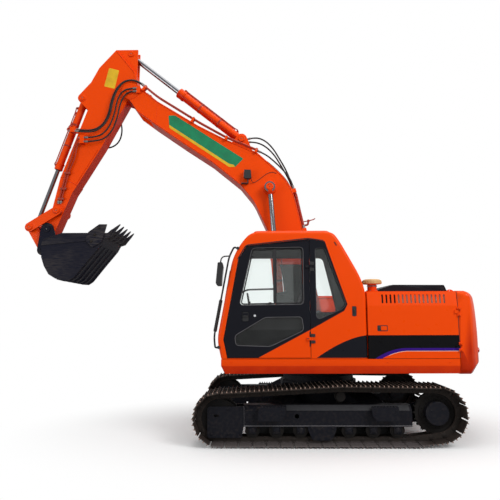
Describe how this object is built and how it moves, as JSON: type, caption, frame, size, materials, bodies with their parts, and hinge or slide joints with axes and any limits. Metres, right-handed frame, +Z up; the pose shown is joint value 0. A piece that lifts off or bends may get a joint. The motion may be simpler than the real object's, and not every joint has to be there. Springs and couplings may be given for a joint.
{
  "type": "crawler excavator",
  "caption": "Tracked digging machine with a slewing cab, boom, arm and curled bucket on hydraulic cylinders.",
  "frame": {"origin": "centre of the bounding box's base, on the ground", "axes": "+X forward, +Y to the machine's left, +Z up"},
  "size_m": [6.715, 2.54, 5.9649],
  "materials": {
    "orange_paint": "satin",
    "dark_paint": "satin",
    "worn_steel": "worn",
    "engine_casting": "cast",
    "chrome_rod": "polished",
    "cab_glass": "clear",
    "black_plastic": "matte",
    "hose_rubber": "worn",
    "seat_fabric": "woven",
    "beige_plastic": "matte"
  },
  "bodies": {
    "undercarriage": {"track_left": "worn_steel", "track_right": "worn_steel", "track_frames": "dark_paint", "front_idlers": "worn_steel", "drive_sprockets": "worn_steel", "final_drives": "dark_paint", "track_rollers": "worn_steel", "centre_frame": "dark_paint", "swing_bearing": "worn_steel", "track_steps": "dark_paint"},
    "upper_structure": {"revolving_frame": "dark_paint", "side_skirts": "orange_paint", "counterweight": "orange_paint", "house_panels": "orange_paint", "side_tanks": "orange_paint", "tool_box": "orange_paint", "engine_block": "engine_casting", "pre_cleaner": "beige_plastic", "cab_left_side": "orange_paint", "cab_right_side": "orange_paint", "cab_front": "orange_paint", "cab_roof": "orange_paint", "cab_rear": "orange_paint", "cab_floor": "dark_paint", "cab_side_glass": "cab_glass", "operator_seat": "seat_fabric", "control_consoles": "black_plastic", "left_mirror": "black_plastic", "right_handrail": "black_plastic"},
    "cab_door": {"cab_door": "dark_paint", "cab_door_glass": "cab_glass"},
    "left_side_door": {"left_side_door": "orange_paint"},
    "right_side_door": {"right_side_door": "orange_paint"},
    "engine_hood": {"engine_hood": "dark_paint"},
    "boom": {"boom": "orange_paint", "boom_light": "black_plastic", "arm_hose_1": "hose_rubber", "arm_hose_2": "hose_rubber", "boom_hose_left": "hose_rubber", "boom_hose_right": "hose_rubber"},
    "boom_cylinder_barrels": {"boom_cylinder_barrels": "orange_paint"},
    "boom_cylinder_rods": {"boom_cylinder_rods": "chrome_rod"},
    "arm": {"arm": "orange_paint", "bucket_hose_1": "hose_rubber", "bucket_hose_2": "hose_rubber", "option_hose_1": "hose_rubber", "option_hose_2": "hose_rubber", "far_side_hose": "hose_rubber"},
    "arm_cylinder_barrel": {"arm_cylinder_barrel": "orange_paint"},
    "arm_cylinder_rod": {"arm_cylinder_rod": "chrome_rod"},
    "bucket": {"bucket": "dark_paint", "bucket_teeth": "worn_steel"},
    "rocker_links": {"rocker_links": "orange_paint"},
    "bucket_link": {"bucket_link": "orange_paint"},
    "bucket_cylinder_barrel": {"bucket_cylinder_barrel": "orange_paint"},
    "bucket_cylinder_rod": {"bucket_cylinder_rod": "chrome_rod"}
  },
  "joints": [
    {"name": "swing", "type": "hinge", "parent": "undercarriage", "child": "upper_structure", "pos_m": [-1.12, 0, 0.864], "axis": [0, 0, 1], "continuous": true},
    {"name": "cab_door_hinge", "type": "hinge", "parent": "upper_structure", "child": "cab_door", "pos_m": [-0.915, 1.215, 1.2], "axis": [0, 0, 1], "range_deg": [0, 165]},
    {"name": "left_side_door_hinge", "type": "hinge", "parent": "upper_structure", "child": "left_side_door", "pos_m": [-2.808, 1.21, 1.5], "axis": [0, 0, 1], "range_deg": [0, 110]},
    {"name": "right_side_door_hinge", "type": "hinge", "parent": "upper_structure", "child": "right_side_door", "pos_m": [-2.808, -1.21, 1.5], "axis": [0, 0, -1], "range_deg": [0, 110]},
    {"name": "engine_hood_hinge", "type": "hinge", "parent": "upper_structure", "child": "engine_hood", "pos_m": [-1.81, 0, 1.984], "axis": [0, 1, 0], "range_deg": [0, 50]},
    {"name": "boom_lift", "type": "hinge", "parent": "upper_structure", "child": "boom", "pos_m": [-1.07, 0, 1.6], "axis": [0, -1, 0], "range_deg": [-80, 15]},
    {"name": "boom_cylinder_swing", "type": "hinge", "parent": "upper_structure", "child": "boom_cylinder_barrels", "pos_m": [-0.6, 0, 1.25], "axis": [0, -1, 0], "range_deg": [-80.84, 15.97]},
    {"name": "boom_cylinder_stroke", "type": "slide", "parent": "boom_cylinder_barrels", "child": "boom_cylinder_rods", "axis": [0.0804, 0, 0.9968], "range_m": [-0.7654, 0.1516]},
    {"name": "arm_crowd", "type": "hinge", "parent": "boom", "child": "arm", "pos_m": [1.795, 0, 5.213], "axis": [0, 1, 0], "range_deg": [-73, 34], "deforming": ["bucket_hose_1", "bucket_hose_2", "option_hose_1", "option_hose_2", "far_side_hose"]},
    {"name": "arm_cylinder_swing", "type": "hinge", "parent": "boom", "child": "arm_cylinder_barrel", "pos_m": [0.026, 0, 4.438], "axis": [0, 1, 0], "range_deg": [-9.76, 5.08], "deforming": ["arm_hose_1", "arm_hose_2"]},
    {"name": "arm_cylinder_stroke", "type": "slide", "parent": "arm_cylinder_barrel", "child": "arm_cylinder_rod", "axis": [0.7784, 0, 0.6278], "range_m": [-0.7452, 0.3524]},
    {"name": "bucket_curl", "type": "hinge", "parent": "arm", "child": "bucket", "pos_m": [3.026, 0, 2.993], "axis": [0, -1, 0], "range_deg": [-5, 150]},
    {"name": "rocker_swing", "type": "hinge", "parent": "arm", "child": "rocker_links", "pos_m": [2.877, 0, 3.276], "axis": [0, -1, 0], "range_deg": [-4.38, 102.25]},
    {"name": "bucket_link_swing", "type": "hinge", "parent": "rocker_links", "child": "bucket_link", "pos_m": [3.285, 0, 3.02], "axis": [0, -1, 0], "range_deg": [-50.5, 2.65]},
    {"name": "bucket_cylinder_swing", "type": "hinge", "parent": "arm", "child": "bucket_cylinder_barrel", "pos_m": [2.576, 0, 5.129], "axis": [0, -1, 0], "range_deg": [-1.15, 5.35]},
    {"name": "bucket_cylinder_stroke", "type": "slide", "parent": "bucket_cylinder_barrel", "child": "bucket_cylinder_rod", "axis": [0.3187, 0, -0.9479], "range_m": [-0.7378, 0.0343]}
  ],
  "couplings": [
    {"joint": "boom_cylinder_swing", "follows": "boom_lift", "ratio": 0.998},
    {"joint": "boom_cylinder_stroke", "follows": "boom_lift", "m_per_rad": 0.541},
    {"joint": "arm_cylinder_swing", "follows": "arm_crowd", "ratio": 0.12},
    {"joint": "arm_cylinder_stroke", "follows": "arm_crowd", "m_per_rad": 0.577},
    {"joint": "rocker_swing", "follows": "bucket_curl", "ratio": 0.675},
    {"joint": "bucket_link_swing", "follows": "bucket_curl", "ratio": -0.33},
    {"joint": "bucket_cylinder_swing", "follows": "bucket_curl", "ratio": 0.029},
    {"joint": "bucket_cylinder_stroke", "follows": "bucket_curl", "m_per_rad": -0.278}
  ]
}
